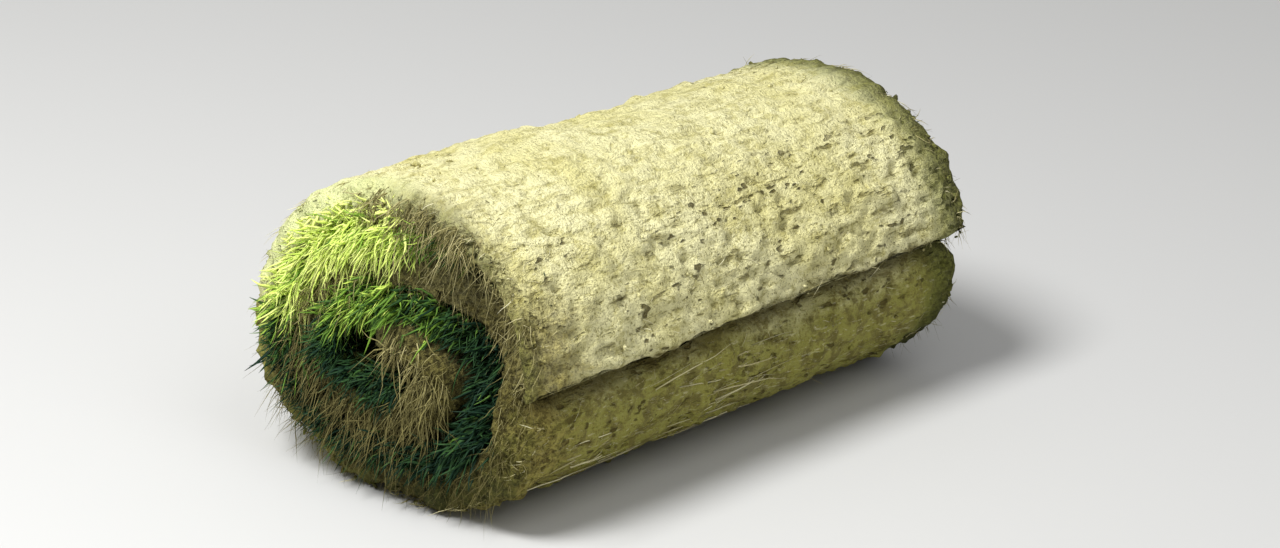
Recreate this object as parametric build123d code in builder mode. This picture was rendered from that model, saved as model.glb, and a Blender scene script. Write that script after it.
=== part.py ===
from build123d import *
from math import asin, atan2, cos, degrees, radians, sin
import os

# A strip of turf, rolled up with the soil outwards, lying on its side. Millimetres, +Z up.
# The origin is on the ground under the middle of the roll. +X runs along the roll from the end
# where the grass shows best, and the free edge of the strip is on the -Y side.

# The strip as it was cut
strip_width = 500
soil_thickness = 24
grass_thickness = 21

# How it is wound, counted in quarter turns from the hole in the middle to the free edge
eye_width = 36
eye_height = 16
first_quarter = 3
last_quarter = 12

# How the soft turf sags under its own weight
side_slack = 5
height_loss = 4
foot_press = 4

# The thinned free edge and the groove under it
edge_thickness = 12
edge_soil = 10
lap_rise = 18
seam_depth = 18
seam_mouth = 26
lip_radius = 5
seam_radius = 1.5

# The two ends, where the soil is crumbled round and the grass stands back between the turns
near_rim = 15
far_rim = 18
end_lift = 16
lift_run = 22
grass_recess = 12
core_push = 10
core_radius = 66
core_recess = 6

turf_thickness = soil_thickness + grass_thickness
side_growth = (turf_thickness + side_slack) / 4
height_growth = (turf_thickness - height_loss) / 4


def reach(quarter, inset=0):
    """Distance from the middle to the soil face, sideways after even quarters and upright after odd ones."""
    if quarter % 2 == 0:
        return eye_width / 2 + side_growth * quarter - inset
    return eye_height / 2 + height_growth * quarter - inset


top_quarter = last_quarter - 1
back_quarter = last_quarter - 2
middle_height = reach(last_quarter - 3)
belly_reach = middle_height + foot_press
edge_reach = reach(last_quarter - 4) + edge_thickness
near = (core_push - strip_width) / 2
far = near + strip_width

# The middle of the winding, with the section's own x along +Y and its y up
winding = Plane((0, (edge_reach - reach(back_quarter)) / 2, middle_height), x_dir=(0, 1, 0), z_dir=(1, 0, 0))
lengthwise = Plane(winding.origin, x_dir=(1, 0, 0), z_dir=(0, -1, 0))

lip = (lip_radius - edge_reach, lap_rise)
lip_outside = (-edge_reach - lip_radius, lap_rise + 2 * lip_radius)
seam_root = (seam_depth - edge_reach, lap_rise)
seam_outside = (-edge_reach - lip_radius, lap_rise - seam_mouth * (1 + lip_radius / seam_depth))
seam_end = lap_rise + edge_soil
crown_radius = (core_radius**2 + core_push**2) / (2 * core_push)
crown_angle = degrees(asin(core_radius / crown_radius))


def heading(quarter):
    """The side of the middle on which a quarter ends, in degrees from the back of the roll."""
    return 90 * (quarter - back_quarter)


def winding_point(quarter, inset=0):
    """The point of the winding where one quarter turn ends and the next begins."""
    turned = radians(heading(quarter))
    return (reach(quarter, inset) * cos(turned), reach(quarter, inset) * sin(turned))


def oval_quarter(start_reach, end_reach, start):
    """A quarter oval of two arcs that meet smoothly, their centres set by a 3-4-5 triangle."""
    spread = abs(start_reach - end_reach)
    tight_radius = min(start_reach, end_reach) - spread
    wide_radius = min(start_reach, end_reach) + 1.5 * spread
    tight_turn = degrees(atan2(3, 4))
    if start_reach > end_reach:
        tight_centre = Vector(2 * spread, 0).rotate(Axis.Z, start)
        wide_centre = Vector(-1.5 * spread, 0).rotate(Axis.Z, start + 90)
        CenterArc(tight_centre, tight_radius, start, tight_turn)
        CenterArc(wide_centre, wide_radius, start + tight_turn, 90 - tight_turn)
    else:
        wide_centre = Vector(-1.5 * spread, 0).rotate(Axis.Z, start)
        tight_centre = Vector(2 * spread, 0).rotate(Axis.Z, start + 90)
        CenterArc(wide_centre, wide_radius, start, 90 - tight_turn)
        CenterArc(tight_centre, tight_radius, start + 90 - tight_turn, tight_turn)


def quarter_turn(quarter, inset=0):
    """The stretch of the winding from the end of one quarter to the end of the next."""
    ends = reach(quarter, inset), reach(quarter + 1, inset)
    sideways, upright = ends if quarter % 2 == 0 else ends[::-1]
    EllipticalCenterArc((0, 0), sideways, upright, heading(quarter), arc_size=90)


def turn_to_seam(sideways, upright):
    """The stretch of the winding from the top to just above the free edge."""
    turned = degrees(asin(seam_end / upright))
    return EllipticalCenterArc((0, 0), sideways, upright, 90, arc_size=90 - turned)


with BuildPart() as turf_roll:
    # The coil as an oval with its ends crumbled round
    with BuildSketch(winding.offset(near)):
        with BuildLine():
            oval_quarter(belly_reach, reach(back_quarter), -90)
            oval_quarter(reach(back_quarter), reach(top_quarter), 0)
            oval_quarter(reach(top_quarter), edge_reach, 90)
            oval_quarter(edge_reach, belly_reach, 180)
        make_face()
    extrude(amount=strip_width)
    fillet(turf_roll.faces().sort_by(Axis.X)[0].edges(), near_rim)
    fillet(turf_roll.faces().sort_by(Axis.X)[-1].edges(), far_rim)

    # The ground presses a flat foot on it, and the crumbled ends stand off the ground
    with BuildSketch(lengthwise):
        with BuildLine():
            Polyline(
                (near, end_lift - middle_height), (near + lift_run, -middle_height),
                (far - lift_run, -middle_height), (far, end_lift - middle_height),
                (far, -belly_reach), (near, -belly_reach), close=True,
            )
        make_face()
    extrude(amount=edge_reach, both=True, mode=Mode.SUBTRACT)

    # The free edge laps over the turn below, with a groove under its rounded lip
    with BuildSketch(winding.offset(near)) as groove:
        with BuildLine():
            Polyline(seam_root, lip, lip_outside, seam_outside, close=True)
        make_face()
        fillet(groove.vertices().sort_by_distance(lip)[0], lip_radius)
        fillet(groove.vertices().sort_by_distance(seam_root)[0], seam_radius)
    extrude(amount=strip_width, mode=Mode.SUBTRACT)

    # The turns have slid along a little, so the core stands out at the near end and back at the far end
    for end, way in ((near, Mode.ADD), (far, Mode.SUBTRACT)):
        crown = end - core_push
        with BuildSketch(lengthwise):
            with BuildLine():
                CenterArc((crown + crown_radius, 0), crown_radius, 180 - crown_angle, crown_angle)
                Polyline((crown, 0), (end, 0), (end, core_radius))
            make_face()
        revolve(axis=Axis(winding.origin, (1, 0, 0)), mode=way)

    # The spiral of grass between the turns stands back from the soil at both ends
    for outside, depth in ((near - core_push, core_push + grass_recess), (far, -grass_recess - core_recess)):
        with BuildSketch(winding.offset(outside)):
            with BuildLine():
                Line(winding_point(first_quarter, soil_thickness), winding_point(first_quarter))
                for quarter in range(first_quarter, top_quarter):
                    quarter_turn(quarter, soil_thickness)
                free_edge = turn_to_seam(edge_reach - edge_soil, reach(top_quarter, soil_thickness))
                turn_below = turn_to_seam(reach(last_quarter - 4), reach(last_quarter - 5))
                Line(free_edge @ 1, turn_below @ 1)
                for quarter in range(first_quarter, last_quarter - 5):
                    quarter_turn(quarter)
            make_face()
        extrude(amount=depth, mode=Mode.SUBTRACT)

    # The hole in the middle of the coil
    with BuildSketch(winding.offset(near - core_push)):
        Ellipse(eye_width / 2, eye_height / 2)
    extrude(amount=strip_width + core_push, mode=Mode.SUBTRACT)

turf_roll.part.label = "turf_roll"
os.makedirs("parts", exist_ok=True)
export_step(turf_roll.part, "parts/turf_roll.step")
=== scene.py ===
from math import cos, pi, radians, sin

import bmesh
import bpy
import numpy as np
from mathutils import Matrix, Vector, noise


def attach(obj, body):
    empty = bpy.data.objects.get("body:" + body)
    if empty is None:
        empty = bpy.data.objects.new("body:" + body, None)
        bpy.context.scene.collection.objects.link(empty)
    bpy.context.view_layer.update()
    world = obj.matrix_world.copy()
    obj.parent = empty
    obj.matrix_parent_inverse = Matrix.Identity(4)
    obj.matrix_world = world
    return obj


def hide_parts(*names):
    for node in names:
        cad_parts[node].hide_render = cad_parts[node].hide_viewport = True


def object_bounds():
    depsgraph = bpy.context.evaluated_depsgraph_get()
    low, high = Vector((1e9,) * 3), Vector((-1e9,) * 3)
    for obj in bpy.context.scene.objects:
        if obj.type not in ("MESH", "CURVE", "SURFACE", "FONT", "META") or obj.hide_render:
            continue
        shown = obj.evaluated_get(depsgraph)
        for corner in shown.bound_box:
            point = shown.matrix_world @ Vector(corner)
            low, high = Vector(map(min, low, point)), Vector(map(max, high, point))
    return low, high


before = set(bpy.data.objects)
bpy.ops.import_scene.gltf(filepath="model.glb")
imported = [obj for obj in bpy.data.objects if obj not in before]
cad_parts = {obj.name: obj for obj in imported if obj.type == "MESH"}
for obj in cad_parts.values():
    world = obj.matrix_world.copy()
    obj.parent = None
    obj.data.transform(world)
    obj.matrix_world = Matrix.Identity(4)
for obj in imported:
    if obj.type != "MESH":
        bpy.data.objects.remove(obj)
cad_low, cad_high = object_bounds()
chance = np.random.default_rng(27)

# The soil of the strip

# A strip of turf cut half a metre wide and rolled up with its soil outwards: sandy topsoil held
# together by grass roots. The outer turn sags onto the ground and laps over the turn below it.
# A place along the strip is a distance in metres, or a number of quarter turns wound round the eye.

STRIP_WIDTH = 0.500
SOIL_THICKNESS = 0.024
GRASS_THICKNESS = 0.021
EYE_HALF_WIDTH, EYE_HALF_HEIGHT = 0.018, 0.008
FULL_TURN = 4
FIRST_QUARTER, LAST_QUARTER = 3, 12
FRONT, FOOT, BACK, TOP = range(LAST_QUARTER - FULL_TURN, LAST_QUARTER)
SIDE_SLACK, HEIGHT_PRESS, FOOT_PRESS = 0.005, 0.004, 0.004
SIDE_GROWTH = (SOIL_THICKNESS + GRASS_THICKNESS + SIDE_SLACK) / FULL_TURN
HEIGHT_GROWTH = (SOIL_THICKNESS + GRASS_THICKNESS - HEIGHT_PRESS) / FULL_TURN
POINTS_A_QUARTER = 200
JOIN_QUARTER = 7.75

# The free edge, which laps over the front and lies askew
EDGE_THICKNESS, EDGE_SOIL, EDGE_BLEND = 0.012, 0.009, (-0.05, 0.30)
LAP_RISE, LAP_SKEW = 0.018, 0.027
WAVE, WAVE_SIZE, RAG, RAG_SIZE = 0.004, 0.09, 0.0025, 0.016
LIP_ROUND, LIP_TIP, LIP_REACH = 0.006, 0.02, 0.09
LIP_ROWS = np.array([LIP_ROUND, 0.0042, 0.0026, 0.0013, 0.0004, 0])
HOLLOW_DEPTH, HOLLOW_MORE_NEAR = 0.010, 0.006
HOLLOW_DROP, HOLLOW_HALF_HEIGHT = 0.005, 0.011
HOLLOW_NEAR_FADE, HOLLOW_FADE = (0.16, 0.03), (8.9, 8.7)

# Both ends: the rounded rims, the core that stands out, and the swollen and torn places
NEAR_RIM, FAR_RIM, INNER_RIM = 0.015, 0.018, 0.004
MOST_RIM, MOST_INNER_RIM = 0.55, 0.3
CORE_PUSH, CORE_RADIUS = 0.010, 0.075
CORE_SHIFT, CORE_SHIFT_FADE = 0.014, (6.6, 7.7)
CORE_SWELL, CORE_SWELL_RISE, CORE_SWELL_FADE = 0.011, (3.2, 4.2), (5.9, 6.7)
FRONT_SWELL, FRONT_SWELL_RISE, FRONT_SWELL_FADE = 0.008, (7.75, 8.2), (8.8, 9.4)
SWELL_REACH = 0.09
SHOULDER_SWELL, SHOULDER_REACH, SHOULDER_FULL, SHOULDER_RISE = 0.011, 0.33, 0.10, (0.01, 0.09)
CLEFT_QUARTER, CLEFT_DEPTH, CLEFT_WIDTH, CLEFT_REACH = 11.50, 0.020, 0.32, 0.06

# The mesh: its spacing, and the least height over the ground
ROW_SPACING = 0.0028
END_ZONE = 0.040
OUTER_FACE_POINTS, INNER_FACE_POINTS, BACK_POINTS = 172, 6, 12
ZONE_POINTS, RIM_POINTS, SIDE_POINTS, UNDER_POINTS = 12, 7, 8, 7
LEAST_HEIGHT = 0.0015
ROLL_AXIS = np.array([1.0, 0, 0])


def reach(quarter):
    """How far the soil face lies from the middle when so many quarter turns are wound."""
    if quarter % 2 == 0:
        return EYE_HALF_WIDTH + SIDE_GROWTH * quarter
    return EYE_HALF_HEIGHT + HEIGHT_GROWTH * quarter


MIDDLE_HEIGHT = reach(FOOT)
EDGE_REACH = reach(FRONT) + EDGE_THICKNESS
MIDDLE_Y = (EDGE_REACH - reach(BACK)) / 2
NEAR = (CORE_PUSH - STRIP_WIDTH) / 2
FAR = NEAR + STRIP_WIDTH


def soft_step(value, start, end):
    """0 at start, 1 at end, and a smooth rise between them."""
    part = np.clip((np.asarray(value) - start) / (end - start), 0, 1)
    return part * part * (3 - 2 * part)


def bell(value, middle, width):
    """1 at the middle and a soft fall to 0 on both sides."""
    return np.exp(-(((value - middle) / width) ** 2))


def soil_line():
    """The soil face's line across the roll: quarter turns, distance along the strip, and place."""
    stations, line = [], []
    for quarter in range(FIRST_QUARTER, LAST_QUARTER):
        turn = np.linspace(0, 1, POINTS_A_QUARTER, endpoint=False)
        angle = (quarter + turn - BACK) * pi / 2
        even = quarter + quarter % 2
        sideways, upright = reach(even), reach(2 * quarter + 1 - even)
        if quarter == FRONT:
            sideways = sideways + EDGE_THICKNESS * soft_step(turn, *EDGE_BLEND)
        elif quarter == TOP:
            sideways = EDGE_REACH
        if quarter in (FRONT, FOOT):
            upright += FOOT_PRESS
        up = np.maximum(upright * np.sin(angle), -MIDDLE_HEIGHT)
        line.append(np.column_stack([sideways * np.cos(angle), up]))
        stations.append(quarter + turn)
    stations, line = np.concatenate(stations), np.concatenate(line)
    steps = np.linalg.norm(np.diff(line, axis=0), axis=1)
    return stations, np.concatenate([[0], np.cumsum(steps)]), line


stations, distances, line = soil_line()
ahead = np.gradient(line, distances, axis=0)
outwards = np.column_stack([ahead[:, 1], -ahead[:, 0]]) / np.linalg.norm(ahead, axis=1)[:, None]


def distance_at(quarter):
    return np.interp(quarter, stations, distances)


def quarter_at(distance):
    return np.interp(distance, distances, stations)


LAP_QUARTER = LAST_QUARTER - 2 / pi * np.arcsin(LAP_RISE / reach(TOP))
STRIP_END = distance_at(LAP_QUARTER)


def turf_place(distance, across, depth):
    """Points in the roll: so far along the strip, at x = across, and so deep under the soil face."""
    quarter = quarter_at(distance)
    side, up = (np.interp(distance, distances, line[:, k]) for k in (0, 1))
    out_side, out_up = (np.interp(distance, distances, outwards[:, k]) for k in (0, 1))
    side = side - out_side * depth + CORE_SHIFT * (1 - soft_step(quarter, *CORE_SHIFT_FADE))
    up = up - out_up * depth
    shoulder = soft_step(across, NEAR + SHOULDER_REACH, NEAR + SHOULDER_FULL)
    up = up + SHOULDER_SWELL * shoulder * soft_step(up, *SHOULDER_RISE)
    slide = CORE_PUSH * (1 - np.minimum(np.hypot(side, up) / CORE_RADIUS, 1) ** 2)
    cleft = bell(quarter, CLEFT_QUARTER - FULL_TURN, CLEFT_WIDTH)
    slide = slide - CLEFT_DEPTH * cleft * soft_step(across, NEAR + CLEFT_REACH, NEAR)
    return np.stack([across - slide, MIDDLE_Y + side, MIDDLE_HEIGHT + up], axis=-1)


def outward_at(distance):
    """The direction out of the soil face."""
    out_side, out_up = (np.interp(distance, distances, outwards[:, k]) for k in (0, 1))
    return np.stack([0 * out_side, out_side, out_up], axis=-1)


def cloud(points, size, octaves=3, seed=0):
    """Fractal noise of about -1 to 1 at each point, with patches of that size."""
    points = np.asarray(points)
    flat = points.reshape(-1, 3) / size + seed * 7.3
    return np.array([noise.fractal(Vector(p), 1.0, 2.0, octaves) for p in flat]).reshape(points.shape[:-1])


def lip_wander(across):
    """How far the free edge reaches past its mean line at x = across: its waves, its rags and its skew."""
    places = np.stack([across, 0 * across, 0 * across], axis=-1)
    waves = WAVE * cloud(places, WAVE_SIZE, 2, 8)
    rags = RAG * cloud(places, RAG_SIZE, 3, 9)
    return waves + rags - LAP_SKEW * across


def soil_depth(distance, across):
    """How thick the soil is there: thin at the free edge, swollen at the near end of core and front."""
    quarter = quarter_at(distance)
    edge_share = soft_step(quarter, LAP_QUARTER - 1, LAP_QUARTER)
    even = SOIL_THICKNESS - (SOIL_THICKNESS - EDGE_SOIL) * edge_share
    core = soft_step(quarter, *CORE_SWELL_RISE) * (1 - soft_step(quarter, *CORE_SWELL_FADE))
    front = soft_step(quarter, *FRONT_SWELL_RISE) * (1 - soft_step(quarter, *FRONT_SWELL_FADE))
    near = soft_step(across, NEAR + SWELL_REACH, NEAR)
    return even + near * (CORE_SWELL * core + FRONT_SWELL * front)


def ring_rows(inset, rim_share, depth_share, inner_share, out, up):
    """Points of the strip's section, where each of these may be one number for all of them."""
    return np.column_stack(np.broadcast_arrays(inset, rim_share, depth_share, inner_share, out, up))


def end_ring(edge, way, rim):
    """Half the section, from its face round one end: across, shares of the sizes, and facing."""
    turn = np.linspace(0, pi / 2, RIM_POINTS)[1:]
    tight = turn[1::2]
    level = np.linspace(0, 1, SIDE_POINTS)[1:-1]
    face = np.linspace(END_ZONE, rim, ZONE_POINTS)
    under = np.linspace(INNER_RIM, END_ZONE, UNDER_POINTS)[1:]
    rows = np.concatenate([
        ring_rows(face, 0, 0, 0, 0, 1),
        ring_rows(rim * (1 - np.sin(turn)), 1 - np.cos(turn), 0, 0, np.sin(turn), np.cos(turn)),
        ring_rows(0, 1 - level, level, level, 1, 0),
        ring_rows(INNER_RIM * (1 - np.cos(tight)), 0, 1, 1 - np.sin(tight), np.cos(tight), -np.sin(tight)),
        ring_rows(under, 0, 1, 0, 0, -1),
    ])
    inset, rim_share, depth_share, inner_share, out, up = rows.T
    return ring_rows(edge + way * inset, rim_share, depth_share, inner_share, -way * out, up)


def whole_ring(face_points):
    """The strip's section: its face, the far end, the side with the mat, and the near end."""
    face = np.linspace(NEAR + END_ZONE, FAR - END_ZONE, face_points)[1:-1]
    back = np.linspace(FAR - END_ZONE, NEAR + END_ZONE, BACK_POINTS)[1:-1]
    return np.concatenate([
        ring_rows(face, 0, 0, 0, 0, 1),
        end_ring(FAR, -1, FAR_RIM),
        ring_rows(back, 0, 1, 0, 0, -1),
        end_ring(NEAR, 1, NEAR_RIM)[::-1],
    ])


def new_piece(name, points, faces):
    """A smooth mesh of those points and faces, linked to the scene."""
    mesh = bpy.data.meshes.new(name)
    mesh.from_pydata(points.reshape(-1, 3).tolist(), [], faces)
    mesh.shade_smooth()
    made = bpy.data.objects.new(name, mesh)
    bpy.context.scene.collection.objects.link(made)
    return made


def sheet_mesh(name, points):
    """A closed body from rows of rings, with its two end rings capped."""
    count, ring = points.shape[:2]
    grid = np.arange(count * ring).reshape(count, ring)
    beside = np.roll(grid, -1, axis=1)
    quads = np.stack([grid[:-1], beside[:-1], beside[1:], grid[1:]], axis=-1).reshape(-1, 4)
    caps = [grid[0][::-1].tolist(), grid[-1].tolist()]
    return new_piece(name, points, quads.tolist() + caps)


# The relief of the skin: how far each kind stands out, more of it at the ends, and its patches' size
SWELL, SWELL_SIZE = 0.0030, 0.11
CLOD, CLOD_AT_ENDS, CLOD_SIZE = 0.0015, 0.0022, 0.021
GRIT, GRIT_AT_ENDS, GRIT_SIZE = 0.0007, 0.0008, 0.0085
RIDGE, RIDGE_SIZE, RIDGE_STRETCH = 0.0011, 0.010, (0.22, 1, 1)
RAGGED, RAGGED_SIZE, WORN_BACK = 0.0055, 0.050, 0.0015
LUMP, LUMP_SIZE, LUMP_STRETCH, LUMPY_SIZE = 0.0030, 0.017, (0.6, 1, 1), 0.09
ROUGHER_BELOW, ROUGHER_BY = (0.13, 0.08), 0.7


def relief(points, out, up, is_outer):
    """How far the crumbled skin stands out. It is rougher at both ends and low on the outer turn."""
    end, top = np.abs(out), np.clip(up, 0, 1)
    rough = 1 + ROUGHER_BY * is_outer * soft_step(points[..., 2], *ROUGHER_BELOW)
    swell = SWELL * cloud(points, SWELL_SIZE, 2, 1) * np.abs(up)
    clods = (CLOD + CLOD_AT_ENDS * end) * cloud(points, CLOD_SIZE, 4, 2)
    grit = (GRIT + GRIT_AT_ENDS * end) * cloud(points, GRIT_SIZE, 2, 3)
    ridges = RIDGE * top * cloud(points * RIDGE_STRETCH, RIDGE_SIZE, 3, 7)
    ragged = end * (RAGGED * cloud(points, RAGGED_SIZE, 2, 4) - WORN_BACK)
    lumpy = 0.4 + soft_step(cloud(points, LUMPY_SIZE, 2, 12), -0.2, 0.4)
    lumps = LUMP * top * lumpy * (np.abs(cloud(points * LUMP_STRETCH, LUMP_SIZE, 3, 11)) - 0.2)
    return swell + rough * (clods + grit + lumps) + ridges + ragged


# Pits, furrows and small clods on the outer face: how many, their radii, how long they are for their
# width, and how far they rise or sink. The dry top has more pits of its own.
PITS, TOP_PITS, FURROWS, SMALL_CLODS = 120, 230, 110, 360
PIT_RADII, FURROW_RADII, SMALL_CLOD_RADII = (0.0018, 0.0030), (0.0018, 0.0028), (0.003, 0.006)
PIT_LENGTH, TOP_PIT_LENGTH, FURROW_LENGTH = 1.5, 2.0, 5.0
PIT_DEPTH, TOP_PIT_DEPTH, FURROW_DEPTH, SMALL_CLOD_RISE = 0.0060, 0.0066, 0.0036, 0.0020
JOIN_MARGIN, TOP_PITS_FROM, FULL_DENT = 0.03, 11.1, 0.004


def dents(rows, across, start, count, radii, stretch, rise):
    """Dents in the face from that distance on, at random places, or lumps where the rise is above 0."""
    field = np.zeros((len(rows), across.shape[-1]))
    along_spots = chance.uniform(start, STRIP_END, count)
    across_spots = chance.uniform(NEAR, FAR, count)
    for along, x, radius in zip(along_spots, across_spots, chance.uniform(*radii, count)):
        part = slice(*np.searchsorted(rows, [along - 3 * radius, along + 3 * radius]))
        gap = (rows[part, None] - along) ** 2 + ((across - x) / stretch) ** 2
        field[part] += rise * np.exp(-gap / radius**2) * min(1, radius / FULL_DENT)
    return field


def outer_face(rows, across, points):
    """What only the outer face has: pits, furrows and clods, and the hollow under the free edge."""
    start, top_start = rows[0] + JOIN_MARGIN, distance_at(TOP_PITS_FROM)
    pits = dents(rows, across, start, PITS, PIT_RADII, PIT_LENGTH, -PIT_DEPTH)
    top_pits = dents(rows, across, top_start, TOP_PITS, PIT_RADII, TOP_PIT_LENGTH, -TOP_PIT_DEPTH)
    furrows = dents(rows, across, start, FURROWS, FURROW_RADII, FURROW_LENGTH, -FURROW_DEPTH)
    clods = dents(rows, across, start, SMALL_CLODS, SMALL_CLOD_RADII, PIT_LENGTH, SMALL_CLOD_RISE)
    drop = MIDDLE_HEIGHT + LAP_RISE - lip_wander(across) - points[..., 2]
    near_from, near_full = HOLLOW_NEAR_FADE
    deep = HOLLOW_DEPTH + HOLLOW_MORE_NEAR * soft_step(points[..., 0], NEAR + near_from, NEAR + near_full)
    is_below = soft_step(rows, *(distance_at(quarter) for quarter in HOLLOW_FADE))[:, None]
    hollow = deep * is_below * bell(drop, HOLLOW_DROP, HOLLOW_HALF_HEIGHT)
    return pits + top_pits + furrows + clods - hollow


def soil_slab(name, first, last, face_points, is_outer):
    """The soil of one stretch of the strip, with a crumbled relief on its face and at both ends."""
    rows = np.linspace(first, last, int((last - first) / ROW_SPACING))
    if is_outer:
        rows = np.concatenate([rows[:-3], last - LIP_ROWS])
    across, rim_share, depth_share, inner_share, out, up = whole_ring(face_points).T[:, None, :]
    along, x = np.broadcast_arrays(rows[:, None], across)
    thickness = soil_depth(along, x)
    rim = np.minimum(NEAR_RIM, MOST_RIM * thickness)
    inner_rim = np.minimum(INNER_RIM, MOST_INNER_RIM * thickness)
    depth = rim * rim_share + thickness * depth_share - inner_rim * inner_share
    if is_outer:
        lip = np.sqrt(1 - np.clip((rows - last + LIP_ROUND) / LIP_ROUND, 0, 1) ** 2)[:, None]
        depth = thickness / 2 + (depth - thickness / 2) * (LIP_TIP + (1 - LIP_TIP) * lip)
        along = along + lip_wander(across) * soft_step(rows, last - LIP_REACH, last)[:, None]
    points = turf_place(along, x, depth)
    normal = outward_at(along) * up[..., None] + ROLL_AXIS * out[..., None]
    move = relief(points, out, up, is_outer)
    if is_outer:
        move = move + np.clip(up, 0, 1) * outer_face(rows, across, points)
    points = points + normal * move[..., None]
    height = points[..., 2]
    lifted = LEAST_HEIGHT * np.exp(height / LEAST_HEIGHT - 1)
    points[..., 2] = np.where(height < LEAST_HEIGHT, lifted, height)
    return sheet_mesh(name, points)


outer_turn = soil_slab("outer_turn", distance_at(JOIN_QUARTER), STRIP_END, OUTER_FACE_POINTS, True)
inner_coil = soil_slab("inner_coil", 0, distance_at(JOIN_QUARTER), INNER_FACE_POINTS, False)


class Signal:
    """One output in a material's nodes. Python's own sums work on it, and each adds its Math node."""

    def __init__(self, tree, socket=None):
        self.tree, self.socket = tree, socket

    def node(self, kind, settings=None, sockets=None, output=0):
        made = self.tree.nodes.new(kind)
        for name, value in (settings or {}).items():
            if name == "stops":
                elements = made.color_ramp.elements
                for index, (position, colour) in enumerate(value):
                    stop = elements[index] if index < 2 else elements.new(position)
                    stop.position, stop.color = position, (*colour, 1)
            else:
                setattr(made, name, value)
        for name, value in (sockets or {}).items():
            if isinstance(value, Signal):
                self.tree.links.new(value.socket, made.inputs[name])
            else:
                made.inputs[name].default_value = value
        return Signal(self.tree, made.outputs[output])

    def maths(self, operation, *values):
        return self.node("ShaderNodeMath", {"operation": operation}, dict(enumerate(values)))

    def __add__(self, other):
        return self.maths("ADD", self, other)

    def __sub__(self, other):
        return self.maths("SUBTRACT", self, other)

    def __mul__(self, other):
        return self.maths("MULTIPLY", self, other)

    def __rsub__(self, other):
        return self.maths("SUBTRACT", other, self)

    __radd__, __rmul__ = __add__, __mul__

    def between(self, low, high):
        """0 up to low and 1 from high, with a soft rise."""
        sockets = {"Value": self, "From Min": low, "From Max": high}
        return self.node("ShaderNodeMapRange", {"interpolation_type": "SMOOTHSTEP"}, sockets)

    def mix(self, colour, other):
        """The first colour where this is 0 and the other where it is 1."""
        colour, other = (c if isinstance(c, Signal) else (*c, 1) for c in (colour, other))
        return self.node("ShaderNodeMix", {"data_type": "RGBA"}, {0: self, 6: colour, 7: other}, 2)

    def patches(self, size, detail=3.0, roughness=0.6):
        """Noise at these coordinates, with patches of that size in metres."""
        sockets = {"Vector": self, "Scale": 1 / size, "Detail": detail, "Roughness": roughness}
        return self.node("ShaderNodeTexNoise", None, sockets)

    def stretched(self, share):
        """These coordinates with everything on them drawn out along the roll."""
        return self.node("ShaderNodeMapping", None, {"Vector": self, "Scale": (share, 1, 1)})


DULL_SPECULAR = 0.12


def finish(name, roughness):
    """A new material, the start for its signals, and what takes its colour and its bump."""
    made = bpy.data.materials.new(name)
    made.use_nodes = True
    tree = made.node_tree
    shader = tree.nodes["Principled BSDF"]
    shader.inputs["Roughness"].default_value = roughness
    shader.inputs["Specular IOR Level"].default_value = DULL_SPECULAR

    def wear(colour, height, strength=1.0):
        bump = height.node("ShaderNodeBump", None, {"Height": height, "Distance": 1.0, "Strength": strength})
        tree.links.new(colour.socket, shader.inputs["Base Color"])
        tree.links.new(bump.socket, shader.inputs["Normal"])
        return made

    return Signal(tree), wear


# The colours of the soil, dry and damp, on the face, at both ends and in the core, with painted shade low
# down, in the pits, in the seam, at the near front, at both ends and in the core, and painted light on the
# near fringe
CREAM, SAND, OCHRE = (0.94, 0.895, 0.50), (0.82, 0.765, 0.35), (0.48, 0.43, 0.130)
# Painted shade between crumbs and grains and in the pits
CRUMB_SHADE, GRAIN_SHADE, PIT_SHADE = (0.20, 0.175, 0.035), (0.24, 0.20, 0.050), (0.095, 0.073, 0.018)
PALE_FIBRE = (0.92, 0.88, 0.55)
# The lower band: damp soil, darkened further with painted shade
DAMP_SHADE_BROWN, DAMP_SHADE_OLIVE = (0.170, 0.145, 0.028), (0.33, 0.315, 0.050)
# Painted shade on the front of the near end, low down, in brown and tan crumbs
FRONT_SHADE_BROWN, FRONT_SHADE_TAN = (0.085, 0.062, 0.016), (0.42, 0.35, 0.095)
# Painted shadow in the seam under the free edge
SEAM_SHADE = (0.13, 0.10, 0.026)
FAR_GREEN = (0.22, 0.33, 0.07)
# Both ends: damp soil darkened with painted shade, and a painted shadow at their foot by the ground
END_DARK, END_OLIVE, END_FOOT_SHADOW = (0.046, 0.045, 0.011), (0.20, 0.205, 0.044), (0.034, 0.038, 0.012)
# Lime grass colour on the upper back rim of the near end, brightened as painted light
LIT_FRINGE_LIME = (0.84, 0.91, 0.44)
# The end of the inner coil: brown soil, darkened with painted shade
CORE_DARK, CORE_BROWN = (0.040, 0.033, 0.009), (0.20, 0.17, 0.050)

# Where they lie, in metres from the middle along the roll and across it, and in height
CREST = (0.219, 0.196)
DAMP_SHADE_BELOW = (0.132, 0.088)
NEAR_END, NEAR_END_SIDE = (0.222, 0.250), (0.07, -0.03)
FAR_END, FAR_RIM_GREEN = (0.196, 0.246), (0.190, 0.240)
END_SHADOW_BELOW = (0.095, 0.035)
NEAR_FRONT, NEAR_FRONT_SIDE, NEAR_FRONT_BELOW = (0.165, 0.225), (-0.02, -0.10), (0.20, 0.15)
FRINGE, FRINGE_SIDE, FRINGE_ABOVE = (0.205, 0.245), (-0.03, 0.05), (0.10, 0.15)
SEAM_LOW, SEAM_HIGH, SEAM_SIDE = (0.094, 0.108), (0.122, 0.115), (-0.06, -0.09)
CORE_HEIGHT, CORE_SIDE_SCALE, CORE_UP_SCALE = 0.1075, 7.6, 9.3
CORE_EDGE, CORE_END = (0.86, 0.66), (-0.15, -0.21)

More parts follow.
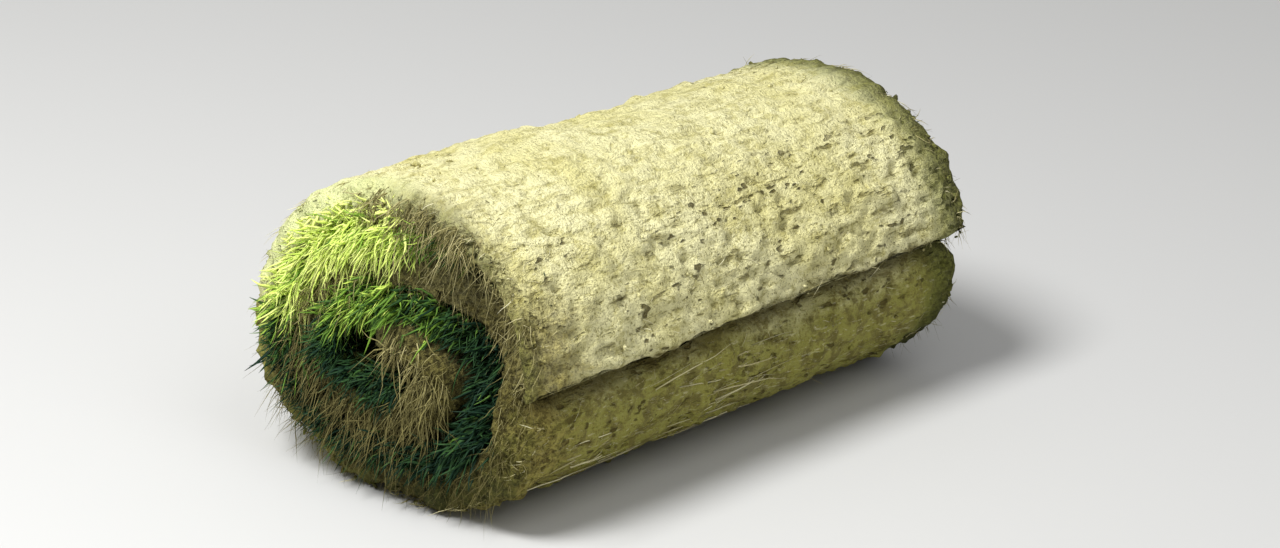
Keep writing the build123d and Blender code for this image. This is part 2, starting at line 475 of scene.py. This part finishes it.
# Its patches from broad to fine, in metres, and how far each kind stands out or lies deep
BROAD_PATCH, MOTTLE_PATCH, CRUMB_PATCH, GRAIN_PATCH = 0.10, 0.014, 0.0042, 0.0021
FIBRE_PATCH, STREAK_PATCH, PIT_PATCH, PITTED_PATCH = 0.0024, 0.0075, 0.0062, 0.045
MOTTLE_BUMP, CRUMB_BUMP, GRAIN_BUMP, FIBRE_BUMP, STREAK_BUMP = 0.0048, 0.0036, 0.0015, 0.0012, 0.0030
LUMP_BUMP, PIT_BUMP, FURROW_BUMP = 0.0016, 0.0042, 0.0015


def sandy_soil():
    """Cream where it has dried on top, darker below with damp and painted shade, dark at both ends with damp
    and painted shade, pitted and full of fibres, with painted shade in the pits and the seam and painted
    light on the near fringe.
    """
    tree, wear = finish("sandy_soil", 0.95)
    here = tree.node("ShaderNodeTexCoord", output=3)
    lengthwise, oblong = here.stretched(0.22), here.stretched(0.5)
    x, y, z = (tree.node("ShaderNodeSeparateXYZ", None, {0: here}, axis) for axis in range(3))
    broad, mottle = here.patches(BROAD_PATCH), here.patches(MOTTLE_PATCH, 6.0, 0.7)
    crumb, grain = here.patches(CRUMB_PATCH, 4.0, 0.7), here.patches(GRAIN_PATCH, 3.0, 0.7)
    fibre, streak = lengthwise.patches(FIBRE_PATCH, 4.0), lengthwise.patches(STREAK_PATCH, 3.0)
    cells = {"Vector": oblong, "Scale": 1 / PIT_PATCH}
    lumps = tree.node("ShaderNodeTexVoronoi", {"feature": "SMOOTH_F1"}, cells)

    # Painted shade in the pits and furrows, and in the dark specks between crumbs and grains, with less of
    # it on the top
    below_crest = z.between(*CREST) * 0.85 + 0.15
    pitted = here.patches(PITTED_PATCH, 2.0).between(0.38, 0.54)
    pits = oblong.patches(PIT_PATCH, 1.5).between(0.385, 0.30) * pitted * below_crest
    furrows = streak.between(0.40, 0.31) * below_crest
    wander = (mottle - 0.5) * 0.03 + (broad - 0.5) * 0.02
    # Painted shade and damp soil on the lower band: darker below these heights, with a wavy edge
    damp_and_shade = (z + (mottle - 0.5) * 0.06 + (broad - 0.5) * 0.05).between(*DAMP_SHADE_BELOW)
    # The ends: damp soil darkened with painted shade, the near end most at its front, where it stands in
    # shade, and a painted shadow at their foot
    near_end = (wander - x).between(*NEAR_END) * (y.between(*NEAR_END_SIDE) * 0.8 + 0.2)
    ends = near_end.maths("MAXIMUM", near_end, (x + wander).between(*FAR_END))
    # Painted shade on the front of the near end, low down
    near_front_shade = ((streak - 0.5) * 0.16 + wander - x).between(*NEAR_FRONT)
    near_front_shade = near_front_shade * y.between(*NEAR_FRONT_SIDE) * z.between(*NEAR_FRONT_BELOW)
    # The fringe: lime grass on the upper back rim of the near end, brightened as painted light
    fringe = (wander - x).between(*FRINGE) * y.between(*FRINGE_SIDE) * z.between(*FRINGE_ABOVE)
    # Painted shadow in a band under the free edge, along the seam
    lip_line = z - x * LAP_SKEW + (crumb - 0.5) * 0.012
    seam_shadow = lip_line.between(*SEAM_LOW) * lip_line.between(*SEAM_HIGH) * y.between(*SEAM_SIDE)
    # The end of the inner coil: brown soil, darkened with painted shade
    side, up = y * CORE_SIDE_SCALE, (z - CORE_HEIGHT) * CORE_UP_SCALE
    core = (side * side + up * up + (mottle - 0.5) * 0.5).between(*CORE_EDGE) * x.between(*CORE_END)

    shade = below_crest * 0.35 + 0.2
    colour = broad.between(0.34, 0.60).mix(SAND, CREAM)
    # Layers over the soil colour. The damp, pit, furrow, crumb, grain, near front, seam, end, end foot and
    # core layers hold painted shade, and the fringe holds painted light.
    for mask, strength, layer in (
        (mottle.between(0.50, 0.36), 0.55, OCHRE),
        (streak.between(0.50, 0.34), 0.45, OCHRE),
        (damp_and_shade, 0.90, mottle.between(0.40, 0.54).mix(DAMP_SHADE_BROWN, DAMP_SHADE_OLIVE)),
        (crumb.between(0.47, 0.33), shade, CRUMB_SHADE),
        (grain.between(0.46, 0.34), shade, GRAIN_SHADE),
        (fibre.between(0.57, 0.70), 0.40, PALE_FIBRE),
        (pits, 0.85, PIT_SHADE),
        (furrows, 0.62, PIT_SHADE),
        (near_front_shade, 0.72, crumb.between(0.36, 0.62).mix(FRONT_SHADE_BROWN, FRONT_SHADE_TAN)),
        (seam_shadow, 0.72, SEAM_SHADE),
        ((x + wander).between(*FAR_RIM_GREEN), 0.30, FAR_GREEN),
        (ends, 0.88, crumb.between(0.38, 0.68).mix(END_DARK, END_OLIVE)),
        (ends * z.between(*END_SHADOW_BELOW), 0.8, END_FOOT_SHADOW),
        (fringe, 0.70, LIT_FRINGE_LIME),
        (core, 0.85, crumb.between(0.40, 0.66).mix(CORE_DARK, CORE_BROWN)),
    ):
        colour = (mask * strength).mix(colour, layer)
    height = mottle * MOTTLE_BUMP + crumb * CRUMB_BUMP + grain * GRAIN_BUMP + fibre * FIBRE_BUMP
    height = height + streak * STREAK_BUMP - lumps * LUMP_BUMP - pits * PIT_BUMP - furrows * FURROW_BUMP
    return wear(colour, height)


soil_finish = sandy_soil()
for piece in (outer_turn, inner_coil):
    piece.data.materials.append(soil_finish)
    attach(piece, "root")
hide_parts("turf_roll")

# Crumbs of soil

# Dry crumbs and small clods that have come loose from the face, the ends and the free edge, and
# still hang in the roots.

CRUMB_SHAPE, CRUMB_WARP, CRUMB_FLOOR = 2.0, 0.22, 0.0003
FACE_CRUMBS, FACE_CRUMB_SCALE, FACE_CRUMB_SIZES = 1500, 0.00042, (0.0004, 0.003)
END_CRUMB_SCALE, NEAR_CRUMB_SIZES, FAR_CRUMB_SIZES = 0.0005, (0.0005, 0.0034), (0.0005, 0.0026)
NEAR_CRUMBS, FAR_CRUMBS = 900, 500
BY_END_SHARE, BY_END_SPREAD, SPOT_MARGIN = 0.3, 0.25, 0.006
SPOT_DEPTHS, SPOT_INSET = (0.08, 0.95), 0.0025


def crumbs(name, centres, sizes, detail):
    """Rounded lumps of those sizes, each knocked out of shape in its own way, joined in one mesh."""
    body = bmesh.new()
    bmesh.ops.create_icosphere(body, subdivisions=detail, radius=1.0)
    shape = np.array([v.co for v in body.verts])
    triangles = np.array([[v.index for v in f.verts] for f in body.faces])
    body.free()
    count = len(centres)
    warp = chance.normal(size=(count, 3, 3)) * CRUMB_WARP + np.eye(3)
    spots = shape[None] @ warp
    bumps = 1 + CRUMB_WARP * chance.normal(size=(count, len(shape), 1))
    places = centres[:, None, :] + spots * bumps * sizes[:, None, None]
    places[..., 2] = places[..., 2].clip(CRUMB_FLOOR)
    faces = (np.arange(count)[:, None, None] * len(shape) + triangles[None]).reshape(-1, 3)
    made = new_piece(name, places, faces.tolist())
    made.data.materials.append(soil_finish)
    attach(made, "root")


def round_off(inset, rim):
    """How far a rounded rim falls back, so far in from its edge."""
    return rim * (1 - np.sqrt(1 - np.clip(1 - inset / rim, 0, 1) ** 2))


def face_spots(count, first=8.0):
    """Random places on the outer face from that quarter turn on, and how far its rim falls back there."""
    along = chance.uniform(distance_at(first), STRIP_END - 0.001, count)
    is_by_end = chance.random(count) < BY_END_SHARE
    by_end = chance.choice([NEAR, FAR], count) * (1 - chance.random(count) ** 2 * BY_END_SPREAD)
    across = np.where(is_by_end, by_end, chance.uniform(NEAR, FAR, count))
    across = across.clip(NEAR + SPOT_MARGIN, FAR - SPOT_MARGIN)
    fall = round_off(across - NEAR, NEAR_RIM) + round_off(FAR - across, FAR_RIM)
    return along, across, fall


def end_spots(edge, way, count, first=3.1, last=LAST_QUARTER):
    """Random places on the crumbled soil of one end, over so many quarter turns."""
    along = chance.uniform(distance_at(first), min(distance_at(last), STRIP_END - 0.003), count)
    depth = chance.uniform(*SPOT_DEPTHS, count) * soil_depth(along, np.full(count, edge))
    inset = SPOT_INSET + round_off(depth, NEAR_RIM if way > 0 else FAR_RIM)
    return turf_place(along, edge + way * inset, depth)


def crumb_sizes(count, scale, sizes):
    return chance.gamma(CRUMB_SHAPE, scale, count).clip(*sizes)


spot_along, spot_across, spot_fall = face_spots(FACE_CRUMBS)
sizes = crumb_sizes(FACE_CRUMBS, FACE_CRUMB_SCALE, FACE_CRUMB_SIZES)
crumbs("face_crumbs", turf_place(spot_along, spot_across, spot_fall + 0.0006 - sizes * 0.2), sizes, 1)
near_spots = end_spots(NEAR, 1, NEAR_CRUMBS)
crumbs("near_crumbs", near_spots, crumb_sizes(NEAR_CRUMBS, END_CRUMB_SCALE, NEAR_CRUMB_SIZES), 2)
far_spots = end_spots(FAR, -1, FAR_CRUMBS)
crumbs("far_crumbs", far_spots, crumb_sizes(FAR_CRUMBS, END_CRUMB_SCALE, FAR_CRUMB_SIZES), 2)

# The mat of thatch between the turns

# Old stalks and leaf bases grow together into a dense mat on the soil. It stands back from both ends,
# and the loose blades of the next section grow out of it.

MAT_START, MAT_ROWS = 4.6, 400
MAT_RECESS, MAT_RIM, MAT_SHOULDER, MAT_SINK = 0.014, 0.006, 0.014, 0.002
MAT_RAG, MAT_RAG_SIZE = 0.004, 0.02
MAT_THICKNESS = [(MAT_START, 0.018), (11, 0.018), (LAP_QUARTER, 0.003)]
GAP_QUARTER, GAP_DEPTH = 7.9, 0.030
GAP_WIDTH, MAT_CLEFT_WIDTH = 0.5, 0.32
DAMP_THATCH, GREEN_THATCH, STRAW = (0.030, 0.042, 0.010), (0.085, 0.10, 0.024), (0.26, 0.25, 0.08)


def thatch():
    """Stalks that run lengthwise where the mat is pressed, straw brown on a dark green ground."""
    tree, wear = finish("thatch", 0.9)
    here = tree.node("ShaderNodeTexCoord", output=3)
    stalks, broad = here.stretched(0.35).patches(0.0024), here.patches(0.033, 2.0)
    colour = broad.between(0.4, 0.62).mix(DAMP_THATCH, GREEN_THATCH)
    colour = (stalks.between(0.52, 0.68) * 0.7).mix(colour, STRAW)
    return wear(colour, stalks * 0.003)


def mat_mesh():
    """A thin slab on the soil's inner side, standing further back in the front gap and in the cleft."""
    rows = np.linspace(distance_at(MAT_START), distance_at(LAP_QUARTER - 0.15), MAT_ROWS)
    quarter = quarter_at(rows)
    near, far = NEAR + MAT_RECESS, FAR - MAT_RECESS
    middle = np.linspace(near + 0.05, far - 0.05, 5)
    near_steps = [near, near + MAT_RIM, near + MAT_SHOULDER]
    face = np.concatenate([near_steps, middle, [far - MAT_SHOULDER, far - MAT_RIM, far]])
    across = np.concatenate([face, [far, far], face[::-1], [near, near]])
    share = np.concatenate([0 * face, [0.33, 0.67], 0 * face + 1, [0.67, 0.33]])
    x = np.tile(across, (len(rows), 1))
    along = np.tile(rows[:, None], (1, len(across)))
    thickness = np.interp(quarter, *zip(*MAT_THICKNESS))[:, None]
    gap = bell(quarter, GAP_QUARTER, GAP_WIDTH) + bell(quarter, CLEFT_QUARTER, MAT_CLEFT_WIDTH)
    x = x + np.where(np.abs(x - near) < 0.02, GAP_DEPTH * gap[:, None], 0)
    points = turf_place(along, x, soil_depth(along, x) - MAT_SINK + thickness * share)
    points[..., 0] += MAT_RAG * cloud(points, MAT_RAG_SIZE, 3, 5) * (np.abs(x) > 0.2)
    return sheet_mesh("thatch_mat", points)


thatch_mat = mat_mesh()
thatch_mat.data.materials.append(thatch())
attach(thatch_mat, "root")

# The grass blades at both ends

# Blades of dense ryegrass, 2 to 4 mm wide. Rolled up inside, they are combed out of the ends of the
# coil: yellow-green and brightened with painted light at the back, darkened with painted shade and damp in
# the front gap.

BLADE_STOPS = [(0.0, (0.009, 0.030, 0.017)), (1.0, (0.88, 0.97, 0.30)), (0.32, (0.040, 0.100, 0.026)),
               (0.58, (0.21, 0.38, 0.045)), (0.76, (0.66, 0.84, 0.15))]
BLADE_FOOT = (0.24, 0.28, 0.06)
BLADE_WIDTHS, BLADE_CURL, BLADE_SAG, LEAN_SPREAD = (0.0022, 0.0040), 0.16, 0.4, 0.30
GRASS_ROOM = [(4.4, 0.016), (6, 0.018), (7.4, 0.022), (GAP_QUARTER, 0.036), (8.4, 0.022), (11, 0.017),
              (LAP_QUARTER, 0.003)]
BLADE_DEPTHS = (0.04, 0.95)
GAP_INSET, BLADE_GAP_WIDTH, CLEFT_INSET, BLADE_CLEFT_WIDTH = 0.018, 0.45, 0.050, 0.29
# Where and how much painted light brightens the blades at the upper back, and painted shade, with damp,
# darkens those low in front
LIT_SIDE, LIT_ABOVE, LIT_FROM, LIT_LEAST, LIT_TONE = (-0.07, 0.01), (0.104, 0.132), (8.5, 9.3), 0.62, 0.66
DAMP_SHADE_SIDE, DAMP_SHADE_GRASS_BELOW, DAMP_SHADE_TONE = (0.03, -0.05), (0.13, 0.07), 0.10
TONE_SPREAD, TONE_PATCH, TONE_PATCH_SIZE = 0.13, 0.14, 0.03
STRAND_ROWS, TAPER_POWER, TIP_SHARE, KEEL_SHARE, SWAY_SHARE = 5, 2.2, 0.06, 0.2, 0.35
GROOVE_SIZE, GROOVE_BUMP, FOOT_SHARE = 0.0015, 0.0004, 0.35
END_ROOM, SIDE_ROOM, TOP_ROOM, STRAND_FLOOR = 0.017, 0.009, 0.009, 0.0003
room_low = np.array(cad_low) - (END_ROOM, SIDE_ROOM, -STRAND_FLOOR)
room_high = np.array(cad_high) + (END_ROOM, SIDE_ROOM, TOP_ROOM)


def strand_finish(name, stops, foot_colour, roughness):
    """A colour for each strand from its own tone, with a paler or duller foot and fine grooves."""
    tree, wear = finish(name, roughness)
    tone = tree.node("ShaderNodeAttribute", {"attribute_name": "tone"}, output=2)
    height = tree.node("ShaderNodeAttribute", {"attribute_name": "height"}, output=2)
    groove = tree.node("ShaderNodeTexCoord", output=3).patches(GROOVE_SIZE, 2.0)
    colour = tree.node("ShaderNodeValToRGB", {"stops": stops}, {"Fac": tone + (groove - 0.5) * 0.25})
    colour = (height.between(FOOT_SHARE, 0.0) * 0.4).mix(colour, foot_colour)
    return wear(colour, groove * GROOVE_BUMP, 0.6)


def strands(name, feet, heading, bend, length, width, tone, curl, material):
    """Tapering three-sided blades or fibres in one mesh, without those that would stand too far out."""
    count, rows = len(feet), STRAND_ROWS
    share = np.linspace(0, 1, rows)[None, :, None]
    heading = heading / np.linalg.norm(heading, axis=1, keepdims=True)
    side = np.cross(heading, chance.normal(size=(count, 3)))
    side /= np.linalg.norm(side, axis=1, keepdims=True)
    length, width = length[:, None, None], width[:, None, None]
    bend = bend + curl * chance.normal(size=(count, 3))
    centre = feet[:, None, :] + length * (heading[:, None, :] * share + bend[:, None, :] * share**2)
    sway = curl * SWAY_SHARE * length * np.sin(share * 7 + chance.uniform(0, 6, (count, 1, 1)))
    centre = centre + side[:, None, :] * sway * share
    taper = (1 - share**TAPER_POWER) * (1 - TIP_SHARE) + TIP_SHARE
    half = side[:, None, :] * width / 2 * taper
    keel = np.cross(heading, side)[:, None, :] * width * KEEL_SHARE * taper
    corners = np.stack([centre - half, centre + half, centre + keel], axis=2)
    keep = ((corners > room_low) & (corners < room_high)).all(axis=(1, 2, 3))
    corners, tone, count = corners[keep], tone[keep], int(keep.sum())
    first = (np.arange(count) * rows * 3)[:, None, None]
    level = (np.arange(rows - 1) * 3)[None, :, None]
    corner = np.array([[0, 1, 4, 3], [1, 2, 5, 4], [2, 0, 3, 5]])
    quads = (first[..., None] + level[..., None] + corner[None, None]).reshape(-1, 4)
    caps = np.concatenate([first[:, 0] + [0, 2, 1], first[:, 0] + (rows - 1) * 3 + [0, 1, 2]])
    made = new_piece(name, corners, quads.tolist() + caps.tolist())
    tones = np.repeat(tone, rows * 3)
    heights = np.tile(np.repeat(np.linspace(0, 1, rows), 3), count)
    made.data.attributes.new("tone", "FLOAT", "POINT").data.foreach_set("value", tones)
    made.data.attributes.new("height", "FLOAT", "POINT").data.foreach_set("value", heights)
    made.data.materials.append(material)
    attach(made, "root")


def blades(name, edge, way, count, first=4.4, last=LAP_QUARTER - 0.05, lengths=(0.013, 0.030),
           lean=-0.05, tone=0.20, spread=0.22, inset=(0.004, 0.028), sink=0.0):
    """Blades that grow out of the mat at one end, over so many quarter turns, leaning in or out."""
    along = chance.uniform(distance_at(first), distance_at(last), count)
    quarter = quarter_at(along)
    room = np.interp(quarter, *zip(*GRASS_ROOM))
    depth = soil_depth(along, np.full(count, edge)) + chance.uniform(*BLADE_DEPTHS, count) * room + sink
    gap = GAP_INSET * bell(quarter, GAP_QUARTER, BLADE_GAP_WIDTH)
    gap = gap + CLEFT_INSET * bell(quarter, CLEFT_QUARTER, BLADE_CLEFT_WIDTH)
    feet = turf_place(along, edge + way * (chance.uniform(*inset, count) + gap * (way > 0)), depth)
    heading = outward_at(along) * chance.normal(lean, LEAN_SPREAD, (count, 1)) - way * ROLL_AXIS
    heading += chance.normal(0, spread, (count, 3))
    # Painted light on the blades at the upper back, and painted shade, with damp, on those low in front
    lit = soft_step(feet[:, 1], *LIT_SIDE) * soft_step(feet[:, 2], *LIT_ABOVE)
    lit = lit * (LIT_LEAST + (1 - LIT_LEAST) * soft_step(quarter, *LIT_FROM))
    damp_and_shade = soft_step(feet[:, 1], *DAMP_SHADE_SIDE) * soft_step(feet[:, 2], *DAMP_SHADE_GRASS_BELOW)
    tones = tone + LIT_TONE * lit - DAMP_SHADE_TONE * damp_and_shade + chance.normal(0, TONE_SPREAD, count)
    tones = tones + TONE_PATCH * cloud(feet, TONE_PATCH_SIZE, 2, 6)
    sag = chance.uniform(0.0, BLADE_SAG, (count, 1)) * (0, 0, -1.0)
    strands(name, feet, heading, sag, chance.uniform(*lengths, count), chance.uniform(*BLADE_WIDTHS, count),
            tones.clip(0, 1), BLADE_CURL, blade_finish)


blade_finish = strand_finish("grass_blade", BLADE_STOPS, BLADE_FOOT, 0.55)
# The near grass starts from a low tone, as painted shade, and the tufts at the upper left start from high
# ones, as painted light
blades("near_grass", NEAR, 1, 5800, last=11.72, tone=0.12)
blades("near_tuft", NEAR, 1, 2400, 9.7, 11.0, lengths=(0.014, 0.036), lean=-0.70, tone=0.32, spread=0.48)
blades("core_tuft", NEAR, 1, 500, 5.8, 7.0, lengths=(0.016, 0.028), lean=-0.30, tone=0.16, spread=0.40)
blades("rim_tuft", NEAR, 1, 240, 9.9, 11.0, lengths=(0.007, 0.014), lean=0.35, tone=0.62, spread=0.45,
       inset=(0.001, 0.006), sink=-0.012)
blades("far_grass", FAR, -1, 4200, last=11.5, lengths=(0.010, 0.019))

# Root fibres

# Fine pale grass roots, most of them less than a millimetre thick, that were cut off with the strip.
# They lie on the soil face, stand out of the crumbled ends and hang from the core.

ROOT_STOPS = [(0.0, (0.085, 0.072, 0.024)), (1.0, (0.92, 0.88, 0.58)), (0.35, (0.26, 0.23, 0.085)),
              (0.65, (0.62, 0.56, 0.28))]
ROOT_FOOT = (0.30, 0.265, 0.10)
ROOT_OUT, ROOT_DOWN, ROOT_SPREAD, ROOT_SAG, ROOT_CURL = 0.8, 0.6, 0.6, 0.7, 0.30
# Roots at the ends get darker towards the bottom: the tone they keep low down, and the heights over which
# they get paler
LOW_ROOT_TONE, ROOT_PALER_ABOVE = 0.4, (0.03, 0.13)
FACE_ROOT_LENGTHS, FACE_ROOT_WIDTHS, FACE_ROOT_RISE = (0.006, 0.020), (0.0004, 0.0008), (-0.02, 0.14)
RUNNER_LENGTHS, RUNNER_WIDTHS = (0.035, 0.085), (0.0009, 0.0018)
RUNNER_SPAN, RUNNER_RISE = (0.01, 0.25), 0.0012
root_finish = strand_finish("root_fibre", ROOT_STOPS, ROOT_FOOT, 0.8)


def face_roots(count):
    """Short roots that lie on the outer face or stand out of it a little."""
    along, across, fall = face_spots(count, 8.05)
    feet = turf_place(along, across, fall + 0.0005)
    outward = outward_at(along)
    heading = chance.choice([-1, 1], count)[:, None] * ROLL_AXIS + chance.normal(0, 0.5, (count, 3))
    rise = chance.uniform(*FACE_ROOT_RISE, count)
    heading -= outward * ((heading * outward).sum(1) - rise)[:, None]
    lengths, widths = chance.uniform(*FACE_ROOT_LENGTHS, count), chance.uniform(*FACE_ROOT_WIDTHS, count)
    tones = chance.uniform(0.2, 1, count)
    strands("face_roots", feet, heading, -0.25 * outward, lengths, widths, tones, 0.10, root_finish)


def end_roots(name, edge, way, count, first=3.1, last=LAST_QUARTER, longest=0.017, thickest=0.0008,
              palest=1.0):
    """Roots that hang from the soil of one end, over so many quarter turns."""
    feet = end_spots(edge, way, count, first, last)
    heading = (-way * ROOT_OUT, 0, -ROOT_DOWN) + chance.normal(0, ROOT_SPREAD, (count, 3))
    sag = np.array([0, 0, -ROOT_SAG])
    # Darker towards the bottom
    paler_higher = LOW_ROOT_TONE + (1 - LOW_ROOT_TONE) * soft_step(feet[:, 2], *ROOT_PALER_ABOVE)
    tones = chance.uniform(0.1, palest, count) * paler_higher
    lengths, widths = chance.uniform(0.3, 1, count) * longest, chance.uniform(0.5, 1, count) * thickest
    strands(name, feet, heading, sag, lengths, widths, tones, ROOT_CURL, root_finish)


def runners(count):
    """A few long pale roots that lie along the face under the free edge."""
    along = chance.uniform(distance_at(8.05), distance_at(8.6), count)
    across = NEAR + chance.uniform(*RUNNER_SPAN, count)
    feet = turf_place(along, across, np.full(count, -RUNNER_RISE))
    outward = outward_at(along)
    heading = ROLL_AXIS + chance.normal(0, 0.10, (count, 3))
    heading -= outward * (heading * outward).sum(1)[:, None]
    lengths, widths = chance.uniform(*RUNNER_LENGTHS, count), chance.uniform(*RUNNER_WIDTHS, count)
    tones = chance.uniform(0.6, 1, count)
    strands("runners", feet, heading, -0.04 * outward, lengths, widths, tones, 0.06, root_finish)


face_roots(2400)
# The roots at the near end and in the core are darker than at the far end: painted shade
end_roots("near_roots", NEAR, 1, 1200, last=9.7, palest=0.60)
end_roots("rim_roots", NEAR, 1, 420, first=10.8, palest=0.60)
end_roots("shoulder_roots", NEAR, 1, 320, 10.8, 11.35, longest=0.028, thickest=0.0012, palest=0.60)
end_roots("core_roots", NEAR, 1, 1300, 3.1, 6.8, longest=0.036, thickest=0.0015, palest=0.50)
end_roots("far_roots", FAR, -1, 1300, longest=0.014, palest=0.8)
runners(34)

# Floor, light and camera

# A pale floor, one broad soft lamp from the upper left over the near end, a weaker fill from the right,
# and the camera at the picture's angle.

FLOOR_SIZE, FLOOR_GREY = 14, (0.56, 0.56, 0.55, 1)
SKY_STRENGTH = 0.36
AIM_HEIGHT, AIM_RIGHT = 0.110, 0.018
AZIMUTH, ELEVATION, DISTANCE, LEAN = radians(-51), radians(21), 3.98, radians(4.1)
FOCAL_LENGTH = 152

bpy.ops.mesh.primitive_plane_add(size=FLOOR_SIZE)
floor = bpy.context.object
floor.name = "floor"
pale = bpy.data.materials.new("pale_floor")
pale.use_nodes = True
pale.node_tree.nodes["Principled BSDF"].inputs["Base Color"].default_value = FLOOR_GREY
pale.node_tree.nodes["Principled BSDF"].inputs["Roughness"].default_value = 0.9
floor.data.materials.append(pale)

world = bpy.data.worlds.new("studio")
bpy.context.scene.world = world
world.use_nodes = True
sky = world.node_tree.nodes["Background"]
sky.inputs["Color"].default_value = (1, 1, 1, 1)
sky.inputs["Strength"].default_value = SKY_STRENGTH


def direction(azimuth, elevation):
    """From the roll towards something at that azimuth and elevation."""
    return Vector((sin(azimuth) * cos(elevation), -cos(azimuth) * cos(elevation), sin(elevation)))


def lamp(name, azimuth, elevation, distance, size, power):
    """A round soft lamp that shines at the roll."""
    data = bpy.data.lights.new(name, "AREA")
    data.shape, data.size, data.energy = "DISK", size, power
    made = bpy.data.objects.new(name, data)
    made.location = direction(azimuth, elevation) * distance
    made.rotation_euler = direction(azimuth, elevation).to_track_quat("Z", "Y").to_euler()
    bpy.context.scene.collection.objects.link(made)


lamp("key", radians(-97), radians(57), distance=3.0, size=1.1, power=108)
lamp("fill", radians(-15), radians(52), distance=3.5, size=2.5, power=25)

camera = bpy.data.objects.new("camera", bpy.data.cameras.new("camera"))
camera.data.lens = FOCAL_LENGTH
away = direction(AZIMUTH, ELEVATION)
level_right = Vector((cos(AZIMUTH), sin(AZIMUTH), 0))
right = level_right * cos(LEAN) + away.cross(level_right) * sin(LEAN)
turned = Matrix((right, away.cross(right), away)).transposed().to_4x4()
place = Vector((0, 0, AIM_HEIGHT)) + level_right * AIM_RIGHT + away * DISTANCE
camera.matrix_world = Matrix.Translation(place) @ turned
bpy.context.scene.collection.objects.link(camera)
bpy.context.scene.camera = camera
bpy.context.scene.view_settings.view_transform = "Standard"
